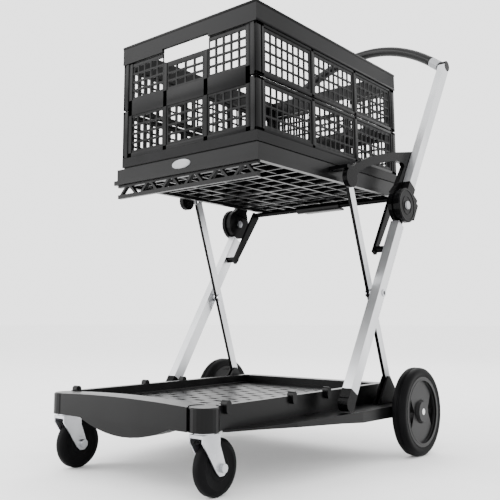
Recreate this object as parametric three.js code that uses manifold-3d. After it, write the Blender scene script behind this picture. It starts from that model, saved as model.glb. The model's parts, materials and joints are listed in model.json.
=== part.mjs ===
import * as THREE from 'three';
import { mergeVertices } from 'three/addons/utils/BufferGeometryUtils.js';
import Module from 'manifold-3d';

const wasm = await Module();
wasm.setup();

// Folding shopping trolley. Millimetres, +Z up, casters towards -Y, push handle towards +Y.
// The left side is the +X side; every paired piece is built on the left and mirrored.

// Clearances
const GAP = 0.3;
const SIDES = [['left', false], ['right', true]];

// Chassis
const FRONT_Y = -445;
const BUMPER_BACK_Y = -400;
const DECK_TOP = 122;
const DECK_THICK = 8;
const RAIL_IN = 173.3;
const RAIL_OUT = 187;
const RAIL_BOTTOM = 101;
const RAIL_TOP = 139.3;
const RAIL_END_Y = 130.2;
const BELLY_Z = 77;
const WING_TOP = 102;
const WING_OUT = 243;
const WING_END_Y = 99.7;
const EAR_TOP = 147;
const EAR_Y = [-386, -207.4, -95];
const BEAM_FRONT_Y = 112;
const BEAM_BACK_Y = 139;

// Casters
const SWIVEL_X = 171;
const SWIVEL_Y = -419.5;
const SOCKET_R = 25;
const SOCKET_TOP = 138.4;
const CASTER_R = 45;
const CASTER_TRAIL = 26;
const CASTER_HALF = 11;
const STEM_R = 5;

// Rear wheels
const AXLE_Y = 128.4;
const WHEEL_R = 87.2;
const WHEEL_IN = 246;
const WHEEL_OUT = 275;
const RIM_R = 70;
const AXLE_R = 6;

// Scissor legs, side view coordinates are [y, z]
const LOWER_PIVOT = [121.2, 108];
const CROSS_PIVOT = [45.5, 325.2];
const KNUCKLE = [146, 516];
const FRONT_PIVOT = [-28, 552];
const FOOT = [-91.8, 119];
const PIN_R = 6;
const CROSS_R = 5;
const INNER_X = [203, 209];
const INNER_HALF = 9.5;
const INNER_END_R = 12;
const OUTER_X = [218.3, 237.5];
const OUTER_HALF = 12.5;
const LEG_OFFSET = 13.1;
const LEG_TILT = THREE.MathUtils.degToRad(32.55);
const LEG_TOP = -40;
const FOOT_R = 14.8;
const FOOT_LENGTH = 24.4;
const TIE_BAR = [181, 540];
const TIE_TIP = [92, 412];
const TIE_LINK = [99, 420];
const SLAT_X = [190, 197];

// Tray and its side arms
const TRAY_OUT_X = 186;
const TRAY_FRONT_Y = -298;
const TRAY_BACK_Y = 246;
const TRAY_TOP = 581;
const TRAY_BAND_Z = 554;
const LIP_OUT = 5.5;
const LIP_SIDE_TRIM = 1.8;
const LIP_Z = 548;
const BAND_THICK = 7.4;
const FLOOR_Z = [563, 567];
const RIB_BOTTOM = 551;
const LOW_BEAM_Z = [520, 528];
const ARM_X = [217, 227.5];
const ARM_DISC_X = [221, 229.3];
const KNUCKLE_R = 38;
const LEG_HUB_X = [229.8, 238];
const LEG_HUB_R = 34;
const TONGUE_X = [229.8, 234.5];
const TONGUE_HALF = 8;
const TONGUE_LOW = -75;

// Handle
const HANDLE_Y = 432.5;
const HANDLE_TOP_Z = 1002;
const HANDLE_SAG = 0.0019;
const HANDLE_SWEEP = 0.000677;
const HANDLE_TUBE_X = [228.5, 246];
const HANDLE_END = [398, 900];
const HANDLE_PLATE_X = [238.5, 247];
const SLEEVE_X = [227.9, 247];
const SLEEVE_CLEAR_R = 39.5;
const SLEEVE_TOP = 58;
const PIN_END_X = 240.5;
const BUTTON_R = 9;
const GRIP_R = 12.5;
const GRIP_HALF = 205;

// Crate
const CRATE_X = 179;
const CRATE_Y = [-291.3, 238.8];
const RIM_X = 180.3;
const RIM_Y = [-292.5, 240];
const BASE_Z = [586.3, 605.6];
const MID_Z = 708;
const CRATE_RIM_Z = [809.8, 849.6];
const WALL = 6;
const COLUMN_IN = 164;
const COLUMN_DEEP = 18;
const END_HALF = 163;
const END_THICK = 5;
const HAND_HALF = 62;
const HAND_Z = [786.5, 816.5];

// ---------------------------------------------------------------- materials

function finish(color, roughness, metalness) {
  return () => new THREE.MeshStandardMaterial({ color, roughness, metalness });
}

const blackPlastic = finish(0x1b1c1e, 0.55, 0);
const crateBlack = finish(0x232427, 0.6, 0);
const aluminium = finish(0xc3c6ca, 0.35, 0.9);
const steel = finish(0xa9adb2, 0.3, 0.95);
const chrome = finish(0xd9dbde, 0.15, 1);
const rubber = finish(0x202022, 0.85, 0);
const greyPlastic = finish(0x7d8085, 0.5, 0);

// ---------------------------------------------------------------- solids

function toSolid(geometry) {
  geometry.deleteAttribute('normal');
  geometry.deleteAttribute('uv');
  const merged = mergeVertices(geometry);
  return new wasm.Manifold(new wasm.Mesh({
    numProp: 3,
    vertProperties: new Float32Array(merged.attributes.position.array),
    triVerts: new Uint32Array(merged.index.array),
  }));
}

function toGeometry(solid) {
  const mesh = solid.getMesh();
  const geometry = new THREE.BufferGeometry();
  geometry.setAttribute('position', new THREE.BufferAttribute(new Float32Array(mesh.vertProperties), 3));
  geometry.setIndex(new THREE.BufferAttribute(new Uint32Array(mesh.triVerts), 1));
  geometry.computeVertexNormals();
  return geometry;
}

function mirrorX(geometry) {
  const copy = geometry.clone();
  const position = copy.attributes.position;
  for (let i = 0; i < position.count; i += 1) {
    position.setX(i, -position.getX(i));
  }
  const index = copy.index;
  for (let i = 0; i < index.count; i += 3) {
    const second = index.getX(i + 1);
    index.setX(i + 1, index.getX(i + 2));
    index.setX(i + 2, second);
  }
  copy.computeVertexNormals();
  return copy;
}

function union(solids) {
  return solids.reduce((whole, piece) => whole.add(piece));
}

function without(solid, cutters) {
  return cutters.reduce((rest, cutter) => rest.subtract(cutter), solid);
}

function box([x0, x1], [y0, y1], [z0, z1]) {
  const geometry = new THREE.BoxGeometry(x1 - x0, y1 - y0, z1 - z0);
  geometry.translate((x0 + x1) / 2, (y0 + y1) / 2, (z0 + z1) / 2);
  return toSolid(geometry);
}

function extrude(shape, depth, basis, position, segments) {
  const geometry = new THREE.ExtrudeGeometry(shape, { depth, bevelEnabled: false, curveSegments: segments });
  const matrix = new THREE.Matrix4().makeBasis(...basis).setPosition(...position);
  geometry.applyMatrix4(matrix);
  return toSolid(geometry);
}

const X = new THREE.Vector3(1, 0, 0);
const Y = new THREE.Vector3(0, 1, 0);
const Z = new THREE.Vector3(0, 0, 1);
const MINUS_Y = new THREE.Vector3(0, -1, 0);

// Shape drawn in [y, z], thickness along X.
function sideCut(shape, [x0, x1], segments = 8) {
  return extrude(shape, x1 - x0, [Y, Z, X], [x0, 0, 0], segments);
}

// Shape drawn in [x, z], thickness along Y.
function frontCut(shape, [y0, y1], segments = 8) {
  return extrude(shape, y1 - y0, [X, Z, MINUS_Y], [0, y1, 0], segments);
}

// Shape drawn in [x, y], thickness along Z.
function planCut(shape, [z0, z1], segments = 8) {
  return extrude(shape, z1 - z0, [X, Y, Z], [0, 0, z0], segments);
}

function polygon(points) {
  return new THREE.Shape(points.map(([a, b]) => new THREE.Vector2(a, b)));
}

function disc([a, b], radius) {
  const shape = new THREE.Shape();
  shape.absarc(a, b, radius, 0, 2 * Math.PI, false);
  return shape;
}

// Straight bar of half width h around the line p-q, square ends.
function bar(p, q, h) {
  const along = new THREE.Vector2(q[0] - p[0], q[1] - p[1]).normalize();
  const side = [-along.y * h, along.x * h];
  return polygon([
    [p[0] - side[0], p[1] - side[1]],
    [q[0] - side[0], q[1] - side[1]],
    [q[0] + side[0], q[1] + side[1]],
    [p[0] + side[0], p[1] + side[1]],
  ]);
}

// Bar with round ends.
function capsule(p, q, r) {
  const angle = Math.atan2(q[1] - p[1], q[0] - p[0]);
  const shape = new THREE.Shape();
  shape.absarc(p[0], p[1], r, angle + Math.PI / 2, angle + 1.5 * Math.PI, false);
  shape.absarc(q[0], q[1], r, angle - Math.PI / 2, angle + Math.PI / 2, false);
  return shape;
}

// Round bar along X, centred on [y, z].
function rod(centre, radius, range, segments = 6) {
  return sideCut(disc(centre, radius), range, segments);
}

function ring(outer, inner, range) {
  const block = box(outer[0], outer[1], range);
  return block.subtract(box(inner[0], inner[1], [range[0] - 1, range[1] + 1]));
}

function ringPad(halfX, [y0, y1], pad) {
  return [[-halfX - pad, halfX + pad], [y0 - pad, y1 + pad]];
}

// Body turned about the vertical line through [x, y]; profile is [radius, z].
function turned(profile, x, y, segments = 24) {
  const geometry = new THREE.LatheGeometry(profile.map(([r, z]) => new THREE.Vector2(r, z)), segments);
  geometry.rotateX(Math.PI / 2);
  geometry.translate(x, y, 0);
  return toSolid(geometry);
}

// Body turned about an axle along X through [y, z]; profile is [radius, x].
function turnedOnAxle(profile, [y, z], segments = 24) {
  const geometry = new THREE.LatheGeometry(profile.map(([r, x]) => new THREE.Vector2(r, x)), segments);
  geometry.rotateZ(-Math.PI / 2);
  geometry.translate(0, y, z);
  return toSolid(geometry);
}

function closed(profile) {
  return [...profile, profile[0]];
}

function alongLine(p, q, distance) {
  const length = Math.hypot(q[0] - p[0], q[1] - p[1]);
  return [p[0] + (q[0] - p[0]) * distance / length, p[1] + (q[1] - p[1]) * distance / length];
}

// Point measured from the knuckle: up along the outer leg and handle line, then square to it
// towards the back.
function fromKnuckle(up, back) {
  const sin = Math.sin(LEG_TILT);
  const cos = Math.cos(LEG_TILT);
  return [KNUCKLE[0] + up * sin + back * cos, KNUCKLE[1] + up * cos - back * sin];
}

function legBlock([up0, up1], [back0, back1], range) {
  const corners = [[up0, back0], [up0, back1], [up1, back1], [up1, back0]];
  return sideCut(polygon(corners.map(([up, back]) => fromKnuckle(up, back))), range);
}

// ---------------------------------------------------------------- assembly

const trolley = new THREE.Group();
trolley.name = 'shopping_trolley';

function addMesh(name, geometry, material) {
  const mesh = new THREE.Mesh(geometry, material());
  mesh.name = name;
  trolley.add(mesh);
}

function addOne(name, solid, material) {
  addMesh(name, toGeometry(solid), material);
}

function addPair(name, solid, material) {
  const geometry = toGeometry(solid);
  for (const [side, mirror] of SIDES) {
    addMesh(`${name}_${side}`, mirror ? mirrorX(geometry) : geometry, material);
  }
}

// ---------------------------------------------------------------- chassis

function socketBore(radius) {
  const low = RAIL_BOTTOM - 40;
  const high = SOCKET_TOP + 20;
  return turned([[0, low], [radius, low], [radius, high], [0, high]], SWIVEL_X, SWIVEL_Y);
}

function mirroredSolid(solid) {
  return toSolid(mirrorX(toGeometry(solid)));
}

function frontBumper() {
  const half = 158;
  const crown = 143;
  const bellyHalf = 121;
  const bottom = RAIL_BOTTOM + 0.5;
  const face = new THREE.Shape();
  face.moveTo(-half, RAIL_TOP - 0.5);
  face.lineTo(-half, bottom);
  face.lineTo(half, bottom);
  face.lineTo(half, RAIL_TOP - 0.5);
  face.quadraticCurveTo(0, 2 * crown - RAIL_TOP, -half, RAIL_TOP - 0.5);
  const belly = new THREE.Shape();
  belly.moveTo(-bellyHalf, bottom + 2);
  belly.quadraticCurveTo(0, 2 * BELLY_Z - bottom - 2, bellyHalf, bottom + 2);
  const body = union([
    frontCut(face, [FRONT_Y, BUMPER_BACK_Y], 12),
    frontCut(belly, [FRONT_Y + 8, BUMPER_BACK_Y], 12),
  ]);
  const bore = socketBore(SOCKET_R + GAP);
  return without(body, [bore, mirroredSolid(bore)]);
}

function casterSocket() {
  const profile = [
    [STEM_R + GAP, RAIL_BOTTOM],
    [SOCKET_R, RAIL_BOTTOM],
    [SOCKET_R, SOCKET_TOP - 2],
    [SOCKET_R - 2, SOCKET_TOP],
    [0, SOCKET_TOP],
    [0, SOCKET_TOP - 8],
    [STEM_R + GAP, SOCKET_TOP - 8],
  ];
  return turned(closed(profile), SWIVEL_X, SWIVEL_Y);
}

function sideRail() {
  const beam = box([RAIL_IN, RAIL_OUT], [SWIVEL_Y, RAIL_END_Y], [RAIL_BOTTOM, RAIL_TOP]);
  const outline = polygon([
    [RAIL_OUT - 1, WING_END_Y],
    [RAIL_OUT - 1, -393],
    [192, -388],
    [215, -335],
    [228, -250],
    [237, -130],
    [242, -57],
    [WING_OUT, 50],
    [WING_OUT, WING_END_Y],
  ]);
  const wedge = polygon([
    [-400, WING_TOP],
    [-400, 98.5],
    [-335, 98.5],
    [-125, 87],
    [-57, 82],
    [WING_END_Y, 80],
    [WING_END_Y, WING_TOP],
  ]);
  const wing = planCut(outline, [70, WING_TOP]).intersect(sideCut(wedge, [RAIL_OUT - 2, WING_OUT + 1]));
  const ears = EAR_Y.map((y) => {
    const outlineOfEar = capsule([y, RAIL_TOP - 8], [y, EAR_TOP - 6], 6);
    return sideCut(outlineOfEar, [RAIL_IN + 8, 194], 5);
  });
  const shaftHole = rod(LOWER_PIVOT, PIN_R + 0.8, [RAIL_IN - 1, RAIL_OUT + 1]);
  return without(union([beam, wing, ...ears]), [socketBore(SOCKET_R + GAP), shaftHole]);
}

function rearBeam() {
  const inside = RAIL_IN - 0.6;
  const reach = 198.2;
  const block = box([-inside, inside], [BEAM_FRONT_Y, BEAM_BACK_Y], [76, RAIL_TOP]);
  const foot = box([-reach, reach], [BEAM_FRONT_Y, BEAM_BACK_Y + 6], [76, RAIL_BOTTOM - GAP]);
  return without(union([block, foot]), [
    rod(LOWER_PIVOT, PIN_R + 0.8, [-inside - 1, inside + 1]),
    rod([AXLE_Y, WHEEL_R], AXLE_R + GAP, [-reach - 1, reach + 1]),
  ]);
}

function deckPanel() {
  const half = RAIL_IN - 0.6;
  const length = [BUMPER_BACK_Y + GAP, BEAM_FRONT_Y - GAP];
  const plate = box([-half, half], length, [DECK_TOP - DECK_THICK, DECK_TOP]);
  const slots = [];
  const columns = 7;
  const rows = 4;
  for (let i = 0; i < columns; i += 1) {
    for (let j = 0; j < rows; j += 1) {
      const y = BUMPER_BACK_Y + 52 + i * 68;
      const x = (j - (rows - 1) / 2) * 80;
      slots.push(box([x - 24, x + 24], [y - 8, y + 8], [DECK_TOP - DECK_THICK - 1, DECK_TOP + 1]));
    }
  }
  const bore = socketBore(SOCKET_R + GAP);
  return without(plate, [union(slots), bore, mirroredSolid(bore)]);
}

function finBracket() {
  const inner = [198.5, 202.5];
  const outer = [209.5, 213.5];
  const back = 150;
  const base = 72;
  const cheek = polygon([
    [58, WING_TOP + GAP],
    [100, WING_TOP + GAP],
    [100, base],
    [back, base],
    [back, 98],
    [140, 116],
    [108, 156],
    [100, 156],
  ]);
  const cheeks = [inner, outer].map((range) => sideCut(cheek, range));
  const floor = box([inner[0], outer[1]], [100, back], [base, 79.5]);
  const boss = rod([AXLE_Y, WHEEL_R], 15, [outer[0], WHEEL_IN - 2], 8);
  return without(union([...cheeks, floor, boss]), [
    rod([AXLE_Y, WHEEL_R], AXLE_R + GAP, [inner[0] - 1, WHEEL_IN]),
    rod(LOWER_PIVOT, PIN_R + GAP, [inner[0] - 1, outer[1] + 1]),
  ]);
}

addOne('front_bumper', frontBumper(), blackPlastic);
addPair('caster_socket', casterSocket(), blackPlastic);
addPair('side_rail', sideRail(), blackPlastic);
addOne('rear_beam', rearBeam(), blackPlastic);
addOne('deck_panel', deckPanel(), blackPlastic);
addPair('fin_bracket', finBracket(), blackPlastic);
addOne('rear_axle', rod([AXLE_Y, WHEEL_R], AXLE_R, [-WHEEL_OUT + 3, WHEEL_OUT - 3]), steel);

// ---------------------------------------------------------------- casters

const CASTER_AXLE = [SWIVEL_Y + CASTER_TRAIL, CASTER_R];
const CROWN_Z = [92.5, 97.5];

function casterStem() {
  const profile = [
    [0, CROWN_Z[1] + GAP],
    [17, CROWN_Z[1] + GAP],
    [17, RAIL_BOTTOM - GAP],
    [STEM_R, RAIL_BOTTOM - GAP],
    [STEM_R, SOCKET_TOP - 10],
    [0, SOCKET_TOP - 10],
  ];
  return turned(profile, SWIVEL_X, SWIVEL_Y, 20);
}

function casterFork() {
  const half = CASTER_HALF + 1.2;
  const sheet = 2.6;
  const crown = box(
    [SWIVEL_X - half - sheet, SWIVEL_X + half + sheet],
    [SWIVEL_Y - 18, SWIVEL_Y + 22],
    CROWN_Z,
  );
  const cheek = polygon([
    [SWIVEL_Y - 18, CROWN_Z[1]],
    [SWIVEL_Y - 18, 86],
    [CASTER_AXLE[0] - 12, CASTER_AXLE[1] - 6],
    [CASTER_AXLE[0] - 5, CASTER_AXLE[1] - 12],
    [CASTER_AXLE[0] + 5, CASTER_AXLE[1] - 12],
    [CASTER_AXLE[0] + 12, CASTER_AXLE[1] - 5],
    [SWIVEL_Y + 22, 80],
    [SWIVEL_Y + 22, CROWN_Z[1]],
  ]);
  const cheeks = [
    sideCut(cheek, [SWIVEL_X - half - sheet, SWIVEL_X - half]),
    sideCut(cheek, [SWIVEL_X + half, SWIVEL_X + half + sheet]),
  ];
  const bolt = rod(CASTER_AXLE, 4 + GAP, [SWIVEL_X - 30, SWIVEL_X + 30]);
  return without(union([crown, ...cheeks]), [bolt]);
}

function casterWheel() {
  const profile = [
    [4 + GAP, SWIVEL_X - CASTER_HALF],
    [CASTER_R - 12, SWIVEL_X - CASTER_HALF],
    [CASTER_R - 4, SWIVEL_X - CASTER_HALF + 0.5],
    [CASTER_R, SWIVEL_X - CASTER_HALF + 5],
    [CASTER_R, SWIVEL_X + CASTER_HALF - 5],
    [CASTER_R - 4, SWIVEL_X + CASTER_HALF - 0.5],
    [CASTER_R - 12, SWIVEL_X + CASTER_HALF],
    [4 + GAP, SWIVEL_X + CASTER_HALF],
  ];
  return turnedOnAxle(closed(profile), CASTER_AXLE, 24);
}

function casterBolt() {
  const cheekOut = CASTER_HALF + 3.8 + GAP;
  const nut = 21;
  const profile = [
    [0, SWIVEL_X - nut],
    [7, SWIVEL_X - nut],
    [7, SWIVEL_X - cheekOut],
    [4, SWIVEL_X - cheekOut],
    [4, SWIVEL_X + cheekOut],
    [7, SWIVEL_X + cheekOut],
    [7, SWIVEL_X + nut],
    [0, SWIVEL_X + nut],
  ];
  return turnedOnAxle(profile, CASTER_AXLE, 12);
}

addPair('caster_stem', casterStem(), steel);
addPair('caster_fork', casterFork(), steel);
addPair('caster_wheel', casterWheel(), rubber);
addPair('caster_bolt', casterBolt(), steel);

// ---------------------------------------------------------------- rear wheels

function rearTyre() {
  const profile = [
    [RIM_R, WHEEL_IN],
    [WHEEL_R - 6, WHEEL_IN],
    [WHEEL_R - 1.5, WHEEL_IN + 3],
    [WHEEL_R, WHEEL_IN + 8],
    [WHEEL_R, WHEEL_OUT - 8],
    [WHEEL_R - 1.5, WHEEL_OUT - 3],
    [WHEEL_R - 6, WHEEL_OUT],
    [RIM_R, WHEEL_OUT],
  ];
  return turnedOnAxle(closed(profile), [AXLE_Y, WHEEL_R], 32);
}

function rearHub() {
  const rim = RIM_R - GAP;
  const profile = [
    [AXLE_R + GAP, WHEEL_IN],
    [20, WHEEL_IN],
    [24, WHEEL_IN + 8],
    [rim - 9, WHEEL_IN + 8],
    [rim - 6, WHEEL_IN + 1],
    [rim, WHEEL_IN + 1],
    [rim, WHEEL_OUT - 1],
    [rim - 6, WHEEL_OUT - 1],
    [rim - 9, WHEEL_OUT - 6],
    [24, WHEEL_OUT - 6],
    [20, WHEEL_OUT],
    [AXLE_R + GAP, WHEEL_OUT],
  ];
  const body = turnedOnAxle(closed(profile), [AXLE_Y, WHEEL_R], 32);
  const windows = [0, Math.PI].map((turn) => {
    const inner = 30;
    const outer = rim - 13;
    const spread = 0.62;
    const corners = [[inner, 0], [outer, spread], [outer, 0], [outer, -spread]];
    const points = corners.map(([r, a]) => [
      AXLE_Y + r * Math.cos(turn + a),
      WHEEL_R + r * Math.sin(turn + a),
    ]);
    return sideCut(polygon(points.reverse()), [WHEEL_IN - 1, WHEEL_OUT + 1]);
  });
  return without(body, windows);
}

addPair('rear_tyre', rearTyre(), rubber);
addPair('rear_hub', rearHub(), blackPlastic);

// ---------------------------------------------------------------- scissor legs

function innerLeg() {
  const cut = [INNER_X[0] - 1, INNER_X[1] + 1];
  const tube = sideCut(bar(LOWER_PIVOT, FRONT_PIVOT, INNER_HALF), INNER_X);
  const ends = [LOWER_PIVOT, FRONT_PIVOT].map((centre) => rod(centre, INNER_END_R, INNER_X, 8));
  return without(union([tube, ...ends]), [
    rod(LOWER_PIVOT, PIN_R + GAP, cut),
    rod(CROSS_PIVOT, CROSS_R + GAP, cut),
    rod(FRONT_PIVOT, CROSS_R + GAP, cut),
  ]);
}

function outerLeg() {
  const top = fromKnuckle(LEG_TOP, LEG_OFFSET);
  const low = alongLine(FOOT, top, FOOT_LENGTH);
  const tube = sideCut(bar(low, top, OUTER_HALF), OUTER_X);
  const wide = TONGUE_HALF + GAP;
  return without(tube, [
    rod(CROSS_PIVOT, CROSS_R + GAP, [OUTER_X[0] - 1, OUTER_X[1] + 1]),
    legBlock(
      [TONGUE_LOW - GAP, LEG_TOP + 1],
      [LEG_OFFSET - wide, LEG_OFFSET + wide],
      [TONGUE_X[0] - GAP, TONGUE_X[1] + GAP],
    ),
  ]);
}

function footCap() {
  const skin = 0.6;
  const range = [OUTER_X[0] - skin, OUTER_X[1] + skin];
  const top = alongLine(FOOT, fromKnuckle(LEG_TOP, LEG_OFFSET), FOOT_LENGTH - GAP);
  return union([
    rod(FOOT, FOOT_R, range, 8),
    sideCut(bar(FOOT, top, OUTER_HALF + skin), range),
  ]);
}

// Pivot disc of the outer leg with the tongue that plugs into the tube below it.
function outerLegHub() {
  const tongueBack = [LEG_OFFSET - TONGUE_HALF, LEG_OFFSET + TONGUE_HALF];
  const body = union([
    rod(KNUCKLE, LEG_HUB_R, LEG_HUB_X, 10),
    legBlock([TONGUE_LOW, 0], tongueBack, TONGUE_X),
  ]);
  return body.subtract(rod(KNUCKLE, PIN_R + GAP, [LEG_HUB_X[0] - 1, LEG_HUB_X[1] + 1]));
}

// Pin from x = inner to x = outer with a head at each end.
function headedPin(centre, radius, [inner, outer], heads) {
  const profile = [
    [0, inner - heads.innerThick],
    [heads.innerR, inner - heads.innerThick],
    [heads.innerR, inner],
    [radius, inner],
    [radius, outer],
    [heads.outerR, outer],
    [heads.outerR, outer + heads.outerThick],
    [0, outer + heads.outerThick],
  ];
  return turnedOnAxle(profile, centre, 14);
}

function crossPin() {
  const heads = { innerR: 8, innerThick: 3, outerR: 7.5, outerThick: 1.5 };
  const pin = headedPin(CROSS_PIVOT, CROSS_R, [INNER_X[0] - GAP, OUTER_X[1] + GAP], heads);
  return pin.add(rod(CROSS_PIVOT, 9, [INNER_X[1] + GAP, OUTER_X[0] - GAP]));
}

function knucklePin() {
  const inner = ARM_DISC_X[0] - GAP;
  const heads = { innerR: 9, innerThick: 3.4, outerR: PIN_R - 0.5, outerThick: 0.5 };
  return headedPin(KNUCKLE, PIN_R, [inner, PIN_END_X - 0.5], heads);
}

// Bar behind the tray with a tapered slat at each end, linked to the outer legs.
function legTieFrame() {
  const wide = 11;
  const narrow = 6;
  const along = new THREE.Vector2(TIE_BAR[0] - TIE_TIP[0], TIE_BAR[1] - TIE_TIP[1]).normalize();
  const side = [along.y, -along.x];
  const blade = polygon([
    [TIE_TIP[0] - side[0] * narrow, TIE_TIP[1] - side[1] * narrow],
    [TIE_TIP[0] + side[0] * narrow, TIE_TIP[1] + side[1] * narrow],
    [TIE_BAR[0] + side[0] * wide, TIE_BAR[1] + side[1] * wide],
    [TIE_BAR[0] - side[0] * wide, TIE_BAR[1] - side[1] * wide],
  ]);
  const slat = union([
    sideCut(blade, SLAT_X),
    rod(TIE_LINK, 7, [SLAT_X[0], OUTER_X[0] - GAP]),
  ]);
  return union([slat, mirroredSolid(slat), rod(TIE_BAR, PIN_R, [-SLAT_X[1], SLAT_X[1]])]);
}

function releaseGrip() {
  const half = 60;
  const paddle = polygon([[183, 533], [183, 539], [211, 537], [211, 532.5]]);
  const body = union([
    rod(TIE_BAR, 10, [-half, half], 6),
    sideCut(paddle, [-half + 8, half - 8]),
  ]);
  return body.subtract(rod(TIE_BAR, PIN_R + GAP, [-half - 1, half + 1]));
}

addPair('inner_leg', innerLeg(), aluminium);
addOne('inner_leg_shaft', rod(LOWER_PIVOT, PIN_R, [-214, 214]), steel);
addPair('outer_leg', outerLeg(), aluminium);
addPair('foot_cap', footCap(), blackPlastic);
addPair('outer_leg_hub', outerLegHub(), blackPlastic);
addPair('cross_pin', crossPin(), steel);
addOne('leg_tie_frame', legTieFrame(), steel);
addOne('release_grip', releaseGrip(), blackPlastic);

// ---------------------------------------------------------------- tray

function trayFrame() {
  const yRange = [TRAY_FRONT_Y, TRAY_BACK_Y];
  const hollow = ringPad(TRAY_OUT_X, yRange, -BAND_THICK);
  const band = ring(ringPad(TRAY_OUT_X, yRange, 0), hollow, [TRAY_BAND_Z, TRAY_TOP]);
  const lip = ring(ringPad(TRAY_OUT_X - LIP_SIDE_TRIM, yRange, LIP_OUT), hollow, [LIP_Z, TRAY_BAND_Z + 3]);
  const floor = box(...ringPad(TRAY_OUT_X, yRange, -BAND_THICK + 2), FLOOR_Z);
  const windows = [];
  for (const x of [-130, -43.5, 43.5, 130]) {
    for (const y of [-225, -90, 45, 175]) {
      windows.push(box([x - 33, x + 33], [y - 42, y + 42], [FLOOR_Z[0] - 1, FLOOR_Z[1] + 1]));
    }
  }
  const ribs = [];
  const ribZ = [RIB_BOTTOM, FLOOR_Z[0] + 1];
  for (const x of [-87, 0, 87]) {
    ribs.push(box([x - 3, x + 3], [TRAY_FRONT_Y + 3, TRAY_BACK_Y - 3], ribZ));
  }
  for (const y of [-157, -22, 110]) {
    ribs.push(box([-TRAY_OUT_X + 3, TRAY_OUT_X - 3], [y - 3, y + 3], ribZ));
  }
  return union([band, lip, floor.subtract(union(windows)), ...ribs]);
}

// Front cross beam hung under the tray on slanted braces.
function trayFrontBeam() {
  const half = 184;
  const range = [-297, -289];
  const brace = 5;
  const bays = 6;
  const step = half / bays;
  const topRail = [LIP_Z - 5, LIP_Z - GAP];
  const lowZ = LOW_BEAM_Z[0] + 3;
  const pieces = [box([-half, half], range, LOW_BEAM_Z), box([-half, half], range, topRail)];
  for (let i = 0; i < 2 * bays; i += 1) {
    const left = -half + i * step + brace;
    const right = -half + (i + 1) * step - brace;
    const foot = i % 2 === 0 ? left : right;
    const head = i % 2 === 0 ? right : left;
    pieces.push(frontCut(bar([foot, lowZ], [head, LIP_Z - 3], brace / 2), range));
  }
  return union(pieces);
}

function frontBadge() {
  const shape = new THREE.Shape();
  shape.absellipse(0, (TRAY_BAND_Z + TRAY_TOP) / 2, 36, 9, 0, 2 * Math.PI, false);
  return frontCut(shape, [TRAY_FRONT_Y - 3, TRAY_FRONT_Y - GAP], 10);
}

// Cast loop that carries the knuckle: front disc, sloping arch and rear limb.
function sideArm() {
  const front = [-49, 550];
  const loop = polygon([
    [-38, 550],
    [-66, 560],
    [-49.6, 570.7],
    [-13, 589],
    [47, 611.6],
    [125, 632],
    [232, 653],
    [238, 647],
    [169, 559],
    [142, 559],
    [181, 611],
    [175, 617],
    [142.5, 616.3],
    [100, 606.7],
    [46, 592],
    [11, 580.8],
    [-18, 567],
  ]);
  const neck = polygon([[122, 545], [176, 532], [169, 561], [142, 561]]);
  const root = [[TRAY_OUT_X + GAP, ARM_X[1]], [-66, -40], [567, 574]];
  const body = union([
    sideCut(loop, ARM_X),
    rod(front, 20, ARM_X, 8),
    box(...root),
    sideCut(neck, ARM_X),
    rod(KNUCKLE, KNUCKLE_R, ARM_DISC_X, 10),
  ]);
  return body.subtract(rod(KNUCKLE, PIN_R + GAP, [ARM_X[0] - 1, ARM_DISC_X[1] + 1]));
}

addOne('tray_frame', trayFrame(), blackPlastic);
addOne('tray_front_beam', trayFrontBeam(), blackPlastic);
addOne('front_badge', frontBadge(), greyPlastic);
addPair('side_arm', sideArm(), blackPlastic);
addPair('knuckle_pin', knucklePin(), steel);

// ---------------------------------------------------------------- handle

function handleTube() {
  const low = alongLine(KNUCKLE, HANDLE_END, SLEEVE_TOP);
  return union([
    sideCut(bar(low, HANDLE_END, OUTER_HALF), HANDLE_TUBE_X),
    rod(HANDLE_END, OUTER_HALF, HANDLE_TUBE_X, 6),
  ]);
}

// D-shaped housing: round towards the front, flat behind, with a thick sleeve under the tube.
function handleHub() {
  const sleeveHalf = 14.5;
  const flatBack = 43;
  const top = alongLine(KNUCKLE, HANDLE_END, SLEEVE_TOP - GAP);
  const sleeve = sideCut(bar(KNUCKLE, top, sleeveHalf), SLEEVE_X);
  const clear = rod(KNUCKLE, SLEEVE_CLEAR_R, [SLEEVE_X[0] - 1, HANDLE_PLATE_X[0]], 10);
  const body = union([
    rod(KNUCKLE, KNUCKLE_R, HANDLE_PLATE_X, 10),
    legBlock([-14, SLEEVE_TOP - 16], [0, flatBack - 8], HANDLE_PLATE_X),
    legBlock([-8, SLEEVE_TOP - 24], [0, flatBack], HANDLE_PLATE_X),
    sleeve.subtract(clear),
  ]);
  return without(body, [
    rod(KNUCKLE, PIN_R + GAP, [HANDLE_PLATE_X[0] - 1, PIN_END_X + 0.5]),
    rod(KNUCKLE, BUTTON_R + GAP, [PIN_END_X + 1.3, HANDLE_PLATE_X[1] + 1]),
  ]);
}

// Bowed bar swept between two x positions.
function bowed(x0, x1, radius, steps, segments) {
  const points = [];
  for (let i = 0; i <= steps; i += 1) {
    const x = x0 + (x1 - x0) * i / steps;
    const y = HANDLE_Y - HANDLE_SWEEP * x * x;
    points.push(new THREE.Vector3(x, y, HANDLE_TOP_Z - HANDLE_SAG * x * x));
  }
  const section = new THREE.Shape();
  section.absarc(0, 0, radius, 0, 2 * Math.PI, false);
  const geometry = new THREE.ExtrudeGeometry(section, {
    steps,
    bevelEnabled: false,
    curveSegments: segments,
    extrudePath: new THREE.CatmullRomCurve3(points),
  });
  return toSolid(geometry);
}

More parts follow.
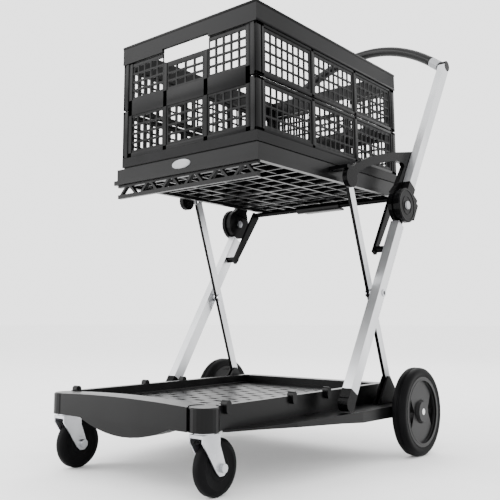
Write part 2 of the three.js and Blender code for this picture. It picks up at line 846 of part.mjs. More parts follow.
function handleCollar() {
  const start = GRIP_HALF + 1;
  const end = HANDLE_TUBE_X[0] - GAP;
  const depth = [HANDLE_Y - 60, HANDLE_Y + 20];
  const reach = box([start - 20, end], depth, [HANDLE_TOP_Z - 150, HANDLE_TOP_Z]);
  return bowed(start, end + 12, GRIP_R + 0.5, 3, 8).intersect(reach);
}

addPair('handle_tube', handleTube(), aluminium);
addPair('handle_hub', handleHub(), blackPlastic);
addPair('lock_button', rod(KNUCKLE, BUTTON_R, [PIN_END_X + 5.1, PIN_END_X + 10]), greyPlastic);
addOne('handle_grip', bowed(-GRIP_HALF, GRIP_HALF, GRIP_R, 14, 7), blackPlastic);
addPair('handle_collar', handleCollar(), greyPlastic);

// ---------------------------------------------------------------- crate

function crateBase() {
  const hollow = ringPad(CRATE_X, CRATE_Y, -WALL);
  const spigot = ringPad(CRATE_X, CRATE_Y, -3);
  const spigotHollow = ringPad(CRATE_X, CRATE_Y, -8);
  return union([
    ring(ringPad(CRATE_X, CRATE_Y, 0), hollow, BASE_Z),
    ring(spigot, spigotHollow, [FLOOR_Z[1] + 0.4, BASE_Z[0] + 2]),
    box(...ringPad(CRATE_X, CRATE_Y, -2), [BASE_Z[0], BASE_Z[0] + 4]),
  ]);
}

// Half-height side panel: pierced sheet between two corner columns.
function crateSide(z0, z1) {
  const columnFront = box([COLUMN_IN, CRATE_X], [CRATE_Y[0], CRATE_Y[0] + COLUMN_DEEP], [z0, z1]);
  const columnBack = box([COLUMN_IN, CRATE_X], [CRATE_Y[1] - COLUMN_DEEP, CRATE_Y[1]], [z0, z1]);
  const sheet = box([CRATE_X - WALL, CRATE_X], CRATE_Y, [z0, z1]);
  const holes = [];
  const windows = 3;
  const span = (CRATE_Y[1] - CRATE_Y[0] - 2 * COLUMN_DEEP) / windows;
  const [across, high] = [4, 2];
  for (let w = 0; w < windows; w += 1) {
    for (let i = 0; i < across; i += 1) {
      for (let j = 0; j < high; j += 1) {
        const y = CRATE_Y[0] + COLUMN_DEEP + (w + (i + 0.75) / (across + 0.5)) * span;
        const z = z0 + (z1 - z0) * (0.28 + 0.44 * j);
        holes.push(box([CRATE_X - WALL - 1, CRATE_X + 1], [y - 13, y + 13], [z - 15, z + 15]));
      }
    }
  }
  return union([columnFront, columnBack, sheet]).subtract(union(holes));
}

// End wall hung from the rim; sign is -1 for the front wall and +1 for the rear wall.
function crateEnd(sign) {
  const face = sign < 0 ? CRATE_Y[0] + 1 : CRATE_Y[1] - 1;
  const range = sign < 0 ? [face, face + END_THICK] : [face - END_THICK, face];
  const cut = [range[0] - 1, range[1] + 1];
  const bottom = BASE_Z[1] + 0.5;
  const top = CRATE_RIM_Z[0] - 1.3;
  const wall = box([-END_HALF, END_HALF], range, [bottom, top]);
  const holes = [box([-HAND_HALF, HAND_HALF], cut, [HAND_Z[0], top + 1])];
  const rows = [[bottom + 26, 15], [bottom + 66, 15], [MID_Z + 30, 13], [MID_Z + 62, 11]];
  for (let bay = -1; bay <= 1; bay += 1) {
    for (let i = -1; i <= 1; i += 1) {
      for (const [z, tall] of rows) {
        const x = bay * 110 + i * 31;
        holes.push(box([x - 12, x + 12], cut, [z - tall, z + tall]));
      }
    }
  }
  return wall.subtract(union(holes));
}

function crateRim() {
  const hollow = ringPad(RIM_X, RIM_Y, -WALL - 1);
  const body = ring(ringPad(RIM_X, RIM_Y, 0), hollow, CRATE_RIM_Z);
  const through = [RIM_Y[0] - 1, RIM_Y[1] + 1];
  return body.subtract(box([-HAND_HALF, HAND_HALF], through, [CRATE_RIM_Z[0] - 1, HAND_Z[1]]));
}

addOne('crate_base', crateBase(), crateBlack);
addPair('crate_side_lower', crateSide(BASE_Z[1] + 0.4, MID_Z - 1.5), crateBlack);
addPair('crate_side_upper', crateSide(MID_Z + 1.5, CRATE_RIM_Z[0] - 0.4), crateBlack);
addOne('crate_front_wall', crateEnd(-1), crateBlack);
addOne('crate_rear_wall', crateEnd(1), crateBlack);
addOne('crate_rim', crateRim(), crateBlack);

export default trolley;
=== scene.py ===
import json
import math
import bmesh
import bpy
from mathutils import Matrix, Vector


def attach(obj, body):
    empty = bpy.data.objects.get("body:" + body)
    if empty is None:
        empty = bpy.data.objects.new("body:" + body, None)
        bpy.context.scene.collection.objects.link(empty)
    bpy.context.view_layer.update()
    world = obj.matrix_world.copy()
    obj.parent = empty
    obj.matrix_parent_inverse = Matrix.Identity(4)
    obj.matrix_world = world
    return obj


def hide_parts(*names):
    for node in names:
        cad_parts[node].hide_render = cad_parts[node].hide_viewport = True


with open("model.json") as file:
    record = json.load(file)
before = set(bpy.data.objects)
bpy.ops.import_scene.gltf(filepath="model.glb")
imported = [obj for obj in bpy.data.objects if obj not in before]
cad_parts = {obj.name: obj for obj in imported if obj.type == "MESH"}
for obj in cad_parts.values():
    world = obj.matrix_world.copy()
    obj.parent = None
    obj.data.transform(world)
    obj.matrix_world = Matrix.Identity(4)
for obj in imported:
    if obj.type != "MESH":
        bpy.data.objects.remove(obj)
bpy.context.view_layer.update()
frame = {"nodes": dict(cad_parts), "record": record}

# Folding shopping trolley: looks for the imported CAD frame. Metres, +Z up, casters towards -Y.

NODES = frame["nodes"]
SIDES = (("left", 1), ("right", -1))

# Scissor linkage in side view, (y, z)
KNUCKLE = (0.146, 0.516)
LOWER_PIVOT = (0.1212, 0.108)
CROSS_PIVOT = (0.0455, 0.3252)
FRONT_PIVOT = (-0.028, 0.552)

# Wheel axles in side view, (y, z), and how far out the casters stand
REAR_AXLE = (0.1284, 0.0872)
CASTER_AXLE = (-0.3935, 0.045)
CASTER_X = 0.171

# Crate: outer half width, and the ranges that its walls fill
CRATE_X = 0.179
CRATE_Y = (-0.2913, 0.2388)
LOWER_Z = (0.606, 0.7065)
UPPER_Z = (0.7095, 0.8094)
END_Z = (0.6062, 0.8085)


# ---------------------------------------------------------------- materials

CLOUD_SCALE = 14.0
CLOUD_DETAIL = 6.0
GRAIN_DETAIL = 3.0
RAMP_START = 0.35
RAMP_END = 0.7
RELIEF_DISTANCE = 0.00012


def make_material(name, dark, light, rough, metallic=0.0, grain=900.0, bump=0.15,
                  stretch=(1, 1, 1), gloss=0.5):
    """Mottled surface: colour runs from dark to light and roughness over rough, with a fine grain."""
    material = bpy.data.materials.new(name)
    material.use_nodes = True
    nodes = material.node_tree.nodes
    links = material.node_tree.links
    shader = nodes["Principled BSDF"]
    shader.inputs["Metallic"].default_value = metallic
    shader.inputs["Specular IOR Level"].default_value = gloss
    coords = nodes.new("ShaderNodeTexCoord")
    mapping = nodes.new("ShaderNodeMapping")
    mapping.inputs["Scale"].default_value = stretch
    links.new(coords.outputs["Object"], mapping.inputs["Vector"])
    cloud = nodes.new("ShaderNodeTexNoise")
    cloud.inputs["Scale"].default_value = CLOUD_SCALE
    cloud.inputs["Detail"].default_value = CLOUD_DETAIL
    links.new(mapping.outputs["Vector"], cloud.inputs["Vector"])
    ramp = nodes.new("ShaderNodeValToRGB")
    ramp.color_ramp.elements[0].position = RAMP_START
    ramp.color_ramp.elements[0].color = (*dark, 1)
    ramp.color_ramp.elements[1].position = RAMP_END
    ramp.color_ramp.elements[1].color = (*light, 1)
    links.new(cloud.outputs["Fac"], ramp.inputs["Fac"])
    links.new(ramp.outputs["Color"], shader.inputs["Base Color"])
    spread = nodes.new("ShaderNodeMapRange")
    spread.inputs["To Min"].default_value = rough[0]
    spread.inputs["To Max"].default_value = rough[1]
    links.new(cloud.outputs["Fac"], spread.inputs["Value"])
    links.new(spread.outputs["Result"], shader.inputs["Roughness"])
    fine = nodes.new("ShaderNodeTexNoise")
    fine.inputs["Scale"].default_value = grain
    fine.inputs["Detail"].default_value = GRAIN_DETAIL
    links.new(mapping.outputs["Vector"], fine.inputs["Vector"])
    relief = nodes.new("ShaderNodeBump")
    relief.inputs["Strength"].default_value = bump
    relief.inputs["Distance"].default_value = RELIEF_DISTANCE
    links.new(fine.outputs["Fac"], relief.inputs["Height"])
    links.new(relief.outputs["Normal"], shader.inputs["Normal"])
    return material


MATERIALS = {
    "chassis_plastic": make_material(
        "chassis_plastic", (0.0008, 0.0008, 0.0009), (0.0024, 0.0024, 0.0026), (0.24, 0.38), gloss=0.12),
    "joint_plastic": make_material(
        "joint_plastic", (0.0008, 0.0008, 0.0009), (0.0022, 0.0022, 0.0024), (0.22, 0.34), gloss=0.05),
    "crate_plastic": make_material(
        "crate_plastic", (0.0009, 0.0009, 0.001), (0.0026, 0.0026, 0.0029), (0.24, 0.38), gloss=0.08),
    "leg_tube": make_material(
        "leg_tube", (0.46, 0.467, 0.48), (0.6, 0.607, 0.62), (0.26, 0.4), 0.85, 220.0, 0.1, (1, 1, 0.08)),
    "zinc_steel": make_material(
        "zinc_steel", (0.34, 0.345, 0.36), (0.56, 0.57, 0.59), (0.2, 0.36), 0.95, 260.0, 0.12),
    "tread_rubber": make_material(
        "tread_rubber", (0.0015, 0.0015, 0.0017), (0.0036, 0.0036, 0.004), (0.42, 0.58),
        bump=0.2, gloss=0.04),
    "grip_rubber": make_material(
        "grip_rubber", (0.0015, 0.0015, 0.0017), (0.0045, 0.0045, 0.005), (0.24, 0.38),
        bump=0.25, gloss=0.16),
    "grey_trim": make_material("grey_trim", (0.2, 0.205, 0.215), (0.3, 0.305, 0.315), (0.3, 0.44)),
    "cap_white": make_material("cap_white", (0.62, 0.62, 0.62), (0.78, 0.78, 0.78), (0.25, 0.4)),
}


SHARP_EDGE = math.radians(32)
BEVEL_EDGE = math.radians(35)


def smooth_by_angle():
    """Node group that shades smooth except over edges sharper than SHARP_EDGE."""
    group = bpy.data.node_groups.new("smooth_by_angle", "GeometryNodeTree")
    group.interface.new_socket("Geometry", in_out="INPUT", socket_type="NodeSocketGeometry")
    group.interface.new_socket("Geometry", in_out="OUTPUT", socket_type="NodeSocketGeometry")
    nodes = group.nodes
    start = nodes.new("NodeGroupInput")
    end = nodes.new("NodeGroupOutput")
    faces = nodes.new("GeometryNodeSetShadeSmooth")
    edges = nodes.new("GeometryNodeSetShadeSmooth")
    edges.domain = "EDGE"
    edges.inputs["Shade Smooth"].default_value = False
    angle = nodes.new("GeometryNodeInputMeshEdgeAngle")
    sharp = nodes.new("FunctionNodeCompare")
    sharp.operation = "GREATER_THAN"
    sharp.inputs[1].default_value = SHARP_EDGE
    group.links.new(angle.outputs["Unsigned Angle"], sharp.inputs[0])
    group.links.new(sharp.outputs["Result"], edges.inputs["Selection"])
    group.links.new(start.outputs[0], faces.inputs["Geometry"])
    group.links.new(faces.outputs[0], edges.inputs["Geometry"])
    group.links.new(edges.outputs[0], end.inputs[0])
    return group


SMOOTH = smooth_by_angle()


def soften(obj, width, segments=2):
    if width > 0:
        bevel = obj.modifiers.new("bevel", "BEVEL")
        bevel.width = width
        bevel.segments = segments
        bevel.limit_method = "ANGLE"
        bevel.angle_limit = BEVEL_EDGE
    modifier = obj.modifiers.new("smooth", "NODES")
    modifier.node_group = SMOOTH


# ---------------------------------------------------------------- mesh makers

def add_piece(name, bm, body, slot, bevel=0.0006, stands_for=(), material=None):
    bmesh.ops.recalc_face_normals(bm, faces=bm.faces)
    mesh = bpy.data.meshes.new(name)
    bm.to_mesh(mesh)
    bm.free()
    mesh.materials.append(MATERIALS[material or slot])
    obj = bpy.data.objects.new(name, mesh)
    bpy.context.scene.collection.objects.link(obj)
    soften(obj, bevel)
    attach(obj, body)
    if stands_for:
        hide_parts(*stands_for)


def add_block(bm, x, y, z):
    corners = [bm.verts.new((x[i], y[j], z[k])) for i in (0, 1) for j in (0, 1) for k in (0, 1)]
    for quad in ((0, 1, 3, 2), (4, 6, 7, 5), (0, 4, 5, 1), (2, 3, 7, 6), (0, 2, 6, 4), (1, 5, 7, 3)):
        bm.faces.new([corners[i] for i in quad])


def pierced(place, u_range, v_range, w_range, holes):
    """Plate from u, v, w ranges with rectangular holes (u0, u1, v0, v1); place maps u, v, w to x, y, z."""
    def cuts(limits, first):
        edges = {edge for hole in holes for edge in hole[first:first + 2]}
        return sorted({*limits, *(edge for edge in edges if limits[0] < edge < limits[1])})
    us = cuts(u_range, 0)
    vs = cuts(v_range, 2)

    def is_solid(i, j):
        if not (0 <= i < len(us) - 1 and 0 <= j < len(vs) - 1):
            return False
        u = (us[i] + us[i + 1]) / 2
        v = (vs[j] + vs[j + 1]) / 2
        return not any(a < u < b and c < v < d for a, b, c, d in holes)
    solid = {(i, j) for i in range(len(us) - 1) for j in range(len(vs) - 1) if is_solid(i, j)}
    bm = bmesh.new()
    made = {}

    def corner(i, j, k):
        if (i, j, k) not in made:
            made[i, j, k] = bm.verts.new(place(us[i], vs[j], w_range[k]))
        return made[i, j, k]
    for i, j in solid:
        ring = ((i, j), (i + 1, j), (i + 1, j + 1), (i, j + 1))
        for k in (0, 1):
            bm.faces.new([corner(a, b, k) for a, b in ring])
        beside = ((i, j - 1), (i + 1, j), (i, j + 1), (i - 1, j))
        for (a, b), (c, d), side in zip(ring, ring[1:] + ring[:1], beside):
            if side not in solid:
                bm.faces.new([corner(a, b, 0), corner(c, d, 0), corner(c, d, 1), corner(a, b, 1)])
    return bm


def lathe(profile, centre, segments=64):
    """Turned about the X line through centre (y, z); profile is a closed list of (radius, x)."""
    bm = bmesh.new()
    rings = []
    for step in range(segments):
        turn = 2 * math.pi * step / segments
        rings.append([
            bm.verts.new((x, centre[0] + r * math.cos(turn), centre[1] + r * math.sin(turn)))
            for r, x in profile
        ])
    for a, b in zip(rings, rings[1:] + rings[:1]):
        for i in range(len(profile)):
            j = (i + 1) % len(profile)
            bm.faces.new([a[i], a[j], b[j], b[i]])
    return bm


def mirrored(profile, sign):
    """Profile of the left side as it is, or turned over for the right side."""
    return [(r, sign * x) for r, x in profile]


def swept(points, radius, segments=28):
    """Round bar through points that run along X."""
    bm = bmesh.new()
    rings = []
    for i, point in enumerate(points):
        before = points[max(i - 1, 0)]
        after = points[min(i + 1, len(points) - 1)]
        along = (after - before).normalized()
        side = along.cross(Vector((0, 0, 1))).normalized()
        up = side.cross(along)
        rings.append([
            bm.verts.new(point + radius * (math.cos(t) * side + math.sin(t) * up))
            for t in (2 * math.pi * k / segments for k in range(segments))
        ])
    for a, b in zip(rings, rings[1:]):
        for k in range(segments):
            n = (k + 1) % segments
            bm.faces.new([a[k], a[n], b[n], b[k]])
    bm.faces.new(rings[0])
    bm.faces.new(rings[-1])
    return bm


def strip(start, end, x_range, offset, half):
    """Flat strip beside the line start-end in (y, z), offset to its +Y side."""
    along = Vector((end[0] - start[0], end[1] - start[1])).normalized()
    side = Vector((along.y, -along.x))
    near = offset - half
    far = offset + half
    bm = bmesh.new()
    rings = []
    for x in x_range:
        ring = []
        for point, shift in ((start, near), (end, near), (end, far), (start, far)):
            ring.append(bm.verts.new((x, point[0] + side.x * shift, point[1] + side.y * shift)))
        rings.append(ring)
    bm.faces.new(rings[0])
    bm.faces.new(rings[1])
    for k in range(4):
        n = (k + 1) % 4
        bm.faces.new([rings[0][k], rings[0][n], rings[1][n], rings[1][k]])
    return bm


def window(u_range, v_range, columns, rows, bar):
    """Grid of rectangular holes filling a window, separated by bars."""
    step_u = (u_range[1] - u_range[0]) / columns
    step_v = (v_range[1] - v_range[0]) / rows
    holes = []
    for i in range(columns):
        for j in range(rows):
            u = u_range[0] + i * step_u
            v = v_range[0] + j * step_v
            holes.append((u + bar / 2, u + step_u - bar / 2, v + bar / 2, v + step_v - bar / 2))
    return holes


# ---------------------------------------------------------------- carried-over CAD nodes

PLAIN_BEVEL = 0.0005
BEVELS = {
    "front_bumper": 0.003, "caster_socket": 0.0015, "side_rail": 0.0016, "rear_beam": 0.002,
    "fin_bracket": 0.0009, "caster_fork": 0.0008, "caster_stem": 0.0008, "rear_hub": 0.0012,
    "inner_leg": 0.0016, "outer_leg": 0.0024, "foot_cap": 0.0018, "outer_leg_hub": 0.0016,
    "tray_frame": 0.0012, "tray_front_beam": 0.0008, "side_arm": 0.002, "handle_tube": 0.0024,
    "handle_hub": 0.0018, "lock_button": 0.0009, "crate_base": 0.003, "crate_rim": 0.003,
    "leg_tie_frame": 0.0008, "release_grip": 0.001, "front_badge": 0.0008,
}
SLOT_OF = {part["node"]: part["material_slot"] for part in frame["record"]["subparts"]}
for node_name, node in NODES.items():
    node.data.materials.clear()
    node.data.materials.append(MATERIALS[SLOT_OF[node_name]])
    stem = node_name.removesuffix("_left").removesuffix("_right")
    soften(node, BEVELS.get(stem, PLAIN_BEVEL))

# ---------------------------------------------------------------- crate walls

GRILLE_BAR = 0.0042
GRILLE_BEVEL = 0.0007
RIB_HALF = 0.005


def crate_side(name, sign, z_range, node_name):
    """Side panel: three grille windows with ribs between them and a deep column at each end."""
    column = 0.018
    column_x = 0.164
    windows = 3
    cells_along = 8
    cells_up = 4
    margin_y = 0.009
    margin_z = 0.011
    sheet = (CRATE_X - 0.0045, CRATE_X - 0.0015)
    rib_depth = 0.006
    rail_height = 0.006
    front, back = CRATE_Y
    low, high = z_range
    span = (back - front - 2 * column) / windows
    holes = []
    ribs = []
    for index in range(windows):
        y = front + column + index * span
        across = (y + margin_y, y + span - margin_y)
        holes += window(across, (low + margin_z, high - margin_z), cells_along, cells_up, GRILLE_BAR)
        ribs.append(y)
    ribs.append(back - column)

    def place(u, v, w):
        return (sign * w, u, v)
    bm = pierced(place, CRATE_Y, z_range, sheet, holes)
    outer = sorted((sign * (CRATE_X - rib_depth), sign * CRATE_X))
    for y in ribs:
        add_block(bm, outer, (y - RIB_HALF, y + RIB_HALF), z_range)
    add_block(bm, outer, CRATE_Y, (low, low + rail_height))
    add_block(bm, outer, CRATE_Y, (high - rail_height, high))
    deep = sorted((sign * column_x, sign * CRATE_X))
    for y_range in ((front, front + column), (back - column, back)):
        add_block(bm, deep, y_range, z_range)
    add_piece(name, bm, "crate", "crate_plastic", GRILLE_BEVEL, [node_name])


for side, sign in SIDES:
    crate_side(f"crate_grille_lower_{side}", sign, LOWER_Z, f"crate_side_lower_{side}")
    crate_side(f"crate_grille_upper_{side}", sign, UPPER_Z, f"crate_side_upper_{side}")


def crate_end(name, face, inward, body, node_name):
    """End wall: three columns of grille cells over and under a rail, and a hand hole at the top."""
    half = 0.163
    rib_x = 0.055
    rib_depth = 0.005
    rib_top = 0.785
    sheet_depths = (0.0012, 0.0042)
    hand_hole = (-0.062, 0.062, 0.7865, 0.82)
    lower_cells = (0.6175, 0.692)
    upper_cells = (0.731, 0.802)
    cells_under_hole = (0.731, 0.778)
    foot_rail = (END_Z[0], 0.6145)
    middle_rail = (0.695, 0.728)
    edge_margin = 0.008
    rib_margin = 0.006
    middle_margin = 0.007
    holes = [hand_hole]
    outer_left = (-half + edge_margin, -rib_x - rib_margin)
    outer_right = (rib_x + rib_margin, half - edge_margin)
    for across in (outer_left, outer_right):
        holes += window(across, lower_cells, 5, 4, GRILLE_BAR)
        holes += window(across, upper_cells, 5, 4, GRILLE_BAR)
    middle = (-rib_x + middle_margin, rib_x - middle_margin)
    holes += window(middle, lower_cells, 4, 4, GRILLE_BAR)
    holes += window(middle, cells_under_hole, 4, 3, GRILLE_BAR)
    sheet = sorted(face + inward * depth for depth in sheet_depths)
    bm = pierced(lambda u, v, w: (u, w, v), (-half, half), END_Z, sheet, holes)
    proud = sorted((face, face + inward * rib_depth))
    short = (END_Z[0], rib_top)
    ribs = ((-half + RIB_HALF, END_Z), (-rib_x, short), (rib_x, short), (half - RIB_HALF, END_Z))
    for x, z_range in ribs:
        add_block(bm, (x - RIB_HALF, x + RIB_HALF), proud, z_range)
    for z_range in (foot_rail, middle_rail):
        add_block(bm, (-half, half), proud, z_range)
    add_piece(name, bm, body, "crate_plastic", GRILLE_BEVEL, [node_name])


FRONT_FACE_Y = -0.2903
REAR_FACE_Y = 0.2378
crate_end("crate_front_grille", FRONT_FACE_Y, 1, "crate_front", "crate_front_wall")
crate_end("crate_rear_grille", REAR_FACE_Y, -1, "crate_rear", "crate_rear_wall")


def crate_rim_bead():
    """Raised lines on the crate rim: low and high along the sides, high only across the ends."""
    side_x = (0.1795, 0.1811)
    y_range = (-0.2925, 0.2400)
    end_reach = (0.2662, 0.2670)
    rim_middle_y = -0.02625
    low_line = (0.8105, 0.8145)
    high_line = (0.8445, 0.8488)
    bm = bmesh.new()
    for sign in (1, -1):
        x_range = sorted(sign * x for x in side_x)
        add_block(bm, x_range, y_range, low_line)
        add_block(bm, x_range, y_range, high_line)
        across = sorted(sign * reach + rim_middle_y for reach in end_reach)
        add_block(bm, (-side_x[1], side_x[1]), across, high_line)
    add_piece("crate_rim_bead", bm, "crate", "crate_plastic", 0.0006)


crate_rim_bead()

# ---------------------------------------------------------------- deck and tray


def level(u, v, w):
    """Places a plate that lies flat: u is x, v is y and w is z."""
    return (u, v, w)


def deck_grid():
    """Deck panel with staggered slots, notched front corners and a raised strip along each side."""
    half_x = 0.1727
    y_range = (-0.3997, 0.1117)
    z_range = (0.116, 0.1216)
    notch = (0.148, 0.2, -0.41, -0.393)
    columns = 9
    rows = 12
    pitch_x = 0.037
    pitch_y = 0.0385
    first_row_y = -0.372
    stagger = 0.0128
    stagger_cycle = 3
    slot_half_x = 0.011
    slot_half_y = 0.0058
    strip_x = 0.1685
    strip_half = 0.004
    strip_y = (-0.39, 0.1117)
    strip_z = (0.114, 0.1245)
    holes = [(-notch[1], -notch[0], notch[2], notch[3]), notch]
    for column in range(columns):
        for row in range(rows):
            x = (column - columns // 2) * pitch_x
            y = first_row_y + row * pitch_y + (column % stagger_cycle) * stagger
            holes.append((x - slot_half_x, x + slot_half_x, y - slot_half_y, y + slot_half_y))
    bm = pierced(level, (-half_x, half_x), y_range, z_range, holes)
    for x in (-strip_x, strip_x):
        add_block(bm, (x - strip_half, x + strip_half), strip_y, strip_z)
    add_piece("deck_grid", bm, "chassis", "chassis_plastic", 0.0006, ["deck_panel"])


def tray_lattice():
    """Square lattice under the tray floor."""
    half_x = 0.168
    y_range = (-0.280, 0.230)
    z_range = (0.5525, 0.5622)
    pitch_x = 0.042
    pitch_y = 0.0425
    wall = 0.002
    cell_end_x = 0.04
    cell_end_y = 0.0405
    cells = []
    for i in range(8):
        for j in range(12):
            x = -half_x + i * pitch_x
            y = y_range[0] + j * pitch_y
            cells.append((x + wall, x + cell_end_x, y + wall, y + cell_end_y))
    bm = pierced(level, (-half_x, half_x), y_range, z_range, cells)
    add_piece("tray_lattice", bm, "tray", "chassis_plastic", 0.0005)


def blank_badge():
    """Domed oval on the tray front, with nothing on it."""
    half_width = 0.024
    half_height = 0.0095
    middle_z = 0.5675
    sides = 48
    dome = ((-0.2984, 1.0), (-0.2998, 0.97), (-0.3006, 0.86), (-0.3009, 0.5))
    bm = bmesh.new()
    rings = []
    for y, share in dome:
        rings.append([
            bm.verts.new((half_width * share * math.cos(t), y, middle_z + half_height * share * math.sin(t)))
            for t in (2 * math.pi * k / sides for k in range(sides))
        ])
    for a, b in zip(rings, rings[1:]):
        for k in range(sides):
            n = (k + 1) % sides
            bm.faces.new([a[k], a[n], b[n], b[k]])
    bm.faces.new(rings[0])
    bm.faces.new(rings[-1])
    add_piece("blank_badge", bm, "tray", "grey_trim", 0, ["front_badge"])


deck_grid()
tray_lattice()
blank_badge()

# ---------------------------------------------------------------- wheels

# Closed profiles of (radius, x); the rear ones are for the left side
REAR_TYRE = [
    (0.0705, 0.2465), (0.0795, 0.2462), (0.0835, 0.2475), (0.0862, 0.2505), (0.0872, 0.255),
    (0.0872, 0.2583), (0.0862, 0.2588), (0.0862, 0.2598), (0.0872, 0.2603), (0.0872, 0.2615),
    (0.0862, 0.262), (0.0862, 0.263), (0.0872, 0.2635), (0.0872, 0.266), (0.0862, 0.2705),
    (0.0835, 0.2735), (0.0795, 0.2748), (0.0765, 0.2745), (0.0705, 0.2738),
]
AXLE_CAP = [(0.0005, 0.2722), (0.0105, 0.2722), (0.0105, 0.2738), (0.009, 0.2748), (0.0005, 0.275)]
CASTER_TYRE = [
    (0.0045, -0.011), (0.02, -0.011), (0.0212, -0.0102), (0.0325, -0.0102), (0.034, -0.011),
    (0.0385, -0.0105), (0.0425, -0.0085), (0.045, -0.0045), (0.045, 0.0045), (0.0425, 0.0085),
    (0.0385, 0.0105), (0.034, 0.011), (0.0325, 0.0102), (0.0212, 0.0102), (0.02, 0.011), (0.0045, 0.011),
]


def closed_ring(inner, outer, x0, x1):
    return [(inner, x0), (outer, x0), (outer, x1), (inner, x1)]


HUB_RING = closed_ring(0.0615, 0.0637, 0.2688, 0.2745)

for side, sign in SIDES:
    body = f"rear_wheel_{side[0]}"
    tyre = lathe(mirrored(REAR_TYRE, sign), REAR_AXLE, 96)
    add_piece(f"tyre_{side}", tyre, body, "tread_rubber", 0, [f"rear_tyre_{side}"])
    ring = lathe(mirrored(HUB_RING, sign), REAR_AXLE, 96)
    add_piece(f"hub_ring_{side}", ring, body, "chassis_plastic", 0.0006)
    cap = lathe(mirrored(AXLE_CAP, sign), REAR_AXLE, 40)
    add_piece(f"axle_cap_{side}", cap, body, "grey_trim", 0, material="cap_white")

for side, sign in SIDES:
    profile = [(radius, sign * CASTER_X + x) for radius, x in CASTER_TYRE]
    tyre = lathe(profile, CASTER_AXLE, 80)
    add_piece(f"caster_tyre_{side}", tyre, f"caster_roller_{side[0]}", "tread_rubber", 0,
              [f"caster_wheel_{side}"])

# ---------------------------------------------------------------- legs and knuckles

LEG_EDGE_X = (0.2028, 0.2092)
LEG_EDGE_OFFSET = -0.0094
LEG_EDGE_HALF = 0.0009
CROSS_PIN_CAP = closed_ring(0.0005, 0.0042, 0.2374, 0.2393)
KNUCKLE_RING_X = (0.2465, 0.2479)
KNUCKLE_RINGS = (("outer", 0.0325, 0.0355), ("inner", 0.0185, 0.0205))

for side, sign in SIDES:
    x_range = sorted(sign * x for x in LEG_EDGE_X)
    edge = strip(LOWER_PIVOT, FRONT_PIVOT, x_range, LEG_EDGE_OFFSET, LEG_EDGE_HALF)
    add_piece(f"inner_leg_edge_{side}", edge, "inner_legs", "joint_plastic", 0.0002)
    cap = lathe(mirrored(CROSS_PIN_CAP, sign), CROSS_PIVOT, 24)
    add_piece(f"cross_pin_cap_{side}", cap, "outer_legs", "joint_plastic", 0.0003)
    for label, inner, outer in KNUCKLE_RINGS:
        ring = lathe(mirrored(closed_ring(inner, outer, *KNUCKLE_RING_X), sign), KNUCKLE, 64)
        add_piece(f"knuckle_ring_{label}_{side}", ring, "handle", "joint_plastic", 0.0004)

# ---------------------------------------------------------------- handle

# The bar bows: at x from its middle it lies BOW_CURVE times x squared further forward and lower, (y, z)
BOW_MIDDLE = (0.4325, 1.002)
BOW_CURVE = (0.677, 1.9)
GRIP_HALF = 0.205
GRIP_STEPS = 48
GRIP_RADIUS = 0.0123
COLLAR_START = 0.2055
COLLAR_LENGTH = 0.0225
COLLAR_STEPS = 6
COLLAR_RADIUS = 0.0128
TUBE_END = (0.398, 0.900)
TUBE_TIP = [
    (0.0003, 0.2277), (0.0128, 0.2277), (0.0133, 0.2284),
    (0.0133, 0.2462), (0.0128, 0.2467), (0.0003, 0.2467),
]


def handle_point(x):
    return Vector((x, BOW_MIDDLE[0] - BOW_CURVE[0] * x * x, BOW_MIDDLE[1] - BOW_CURVE[1] * x * x))


grip = [handle_point(-GRIP_HALF + 2 * GRIP_HALF * i / GRIP_STEPS) for i in range(GRIP_STEPS + 1)]
add_piece("grip_sleeve", swept(grip, GRIP_RADIUS, 32), "handle", "grip_rubber", 0.0012, ["handle_grip"])
for side, sign in SIDES:
    collar = [
        handle_point(sign * (COLLAR_START + COLLAR_LENGTH * i / COLLAR_STEPS))
        for i in range(COLLAR_STEPS + 1)
    ]
    add_piece(f"collar_{side}", swept(collar, COLLAR_RADIUS, 32), "handle", "grey_trim", 0.001,
              [f"handle_collar_{side}"])

for side, sign in SIDES:
    tip = lathe(mirrored(TUBE_TIP, sign), TUBE_END, 48)
    add_piece(f"tube_tip_{side}", tip, "handle", "joint_plastic", 0)

# ---------------------------------------------------------------- floor, light, camera

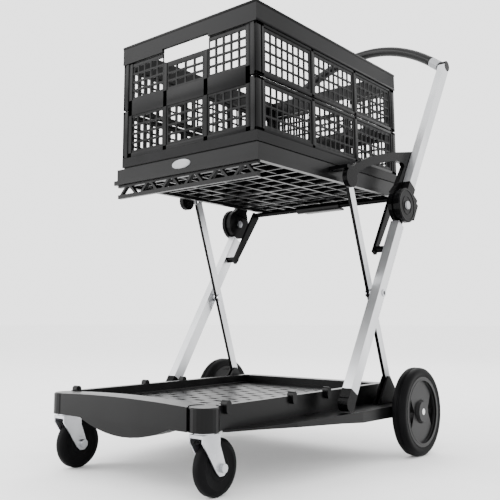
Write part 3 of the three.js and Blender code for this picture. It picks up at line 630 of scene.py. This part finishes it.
FLOOR_HALF = 30
WORLD_STRENGTH = 2.6
CAMERA_PLACE = (0.9211, -1.2460, 0.2714)
CAMERA_AIM = (-0.647, 0.749, 0.141)
LENS_MM = 50.55
SENSOR_MM = 36
SHIFT_X = 0.0568
SHIFT_Y = -0.0604
CLIP_START = 0.05

floor_corners = [(x * FLOOR_HALF, y * FLOOR_HALF, 0) for x, y in ((-1, -1), (1, -1), (1, 1), (-1, 1))]
floor_mesh = bpy.data.meshes.new("floor")
floor_mesh.from_pydata(floor_corners, [], [(0, 1, 2, 3)])
floor = bpy.data.objects.new("floor", floor_mesh)
bpy.context.scene.collection.objects.link(floor)
white = make_material("floor", (0.93, 0.93, 0.93), (0.96, 0.96, 0.96), (0.7, 0.9), bump=0.0)
floor_mesh.materials.append(white)

world = bpy.data.worlds.new("studio")
bpy.context.scene.world = world
world.use_nodes = True
world.node_tree.nodes["Background"].inputs["Color"].default_value = (1, 1, 1, 1)
world.node_tree.nodes["Background"].inputs["Strength"].default_value = WORLD_STRENGTH


def area_light(name, place, target, size, power):
    """Square light at place, aimed at target; size in metres and power in watts."""
    data = bpy.data.lights.new(name, "AREA")
    data.energy = power
    data.size = size
    lamp = bpy.data.objects.new(name, data)
    bpy.context.scene.collection.objects.link(lamp)
    lamp.location = place
    lamp.rotation_euler = (Vector(target) - lamp.location).to_track_quat("-Z", "Y").to_euler()


area_light("key", (-1.6, -2.2, 2.2), (0, 0, 0.5), 1.6, 55)
area_light("front_card", (-1.75, -2.35, 0.45), (0, -0.2, 0.35), 1.3, 34)
area_light("fill", (2.4, -0.4, 1.6), (0, 0, 0.4), 1.4, 6)
area_light("back", (-0.6, 2.4, 2.4), (0, 0, 0.5), 1.6, 30)

camera_data = bpy.data.cameras.new("camera")
camera_data.lens = LENS_MM
camera_data.sensor_width = SENSOR_MM
camera_data.shift_x = SHIFT_X
camera_data.shift_y = SHIFT_Y
camera_data.clip_start = CLIP_START
camera = bpy.data.objects.new("camera", camera_data)
bpy.context.scene.collection.objects.link(camera)
camera.location = CAMERA_PLACE
camera.rotation_euler = Vector(CAMERA_AIM).to_track_quat("-Z", "Y").to_euler()
bpy.context.scene.camera = camera
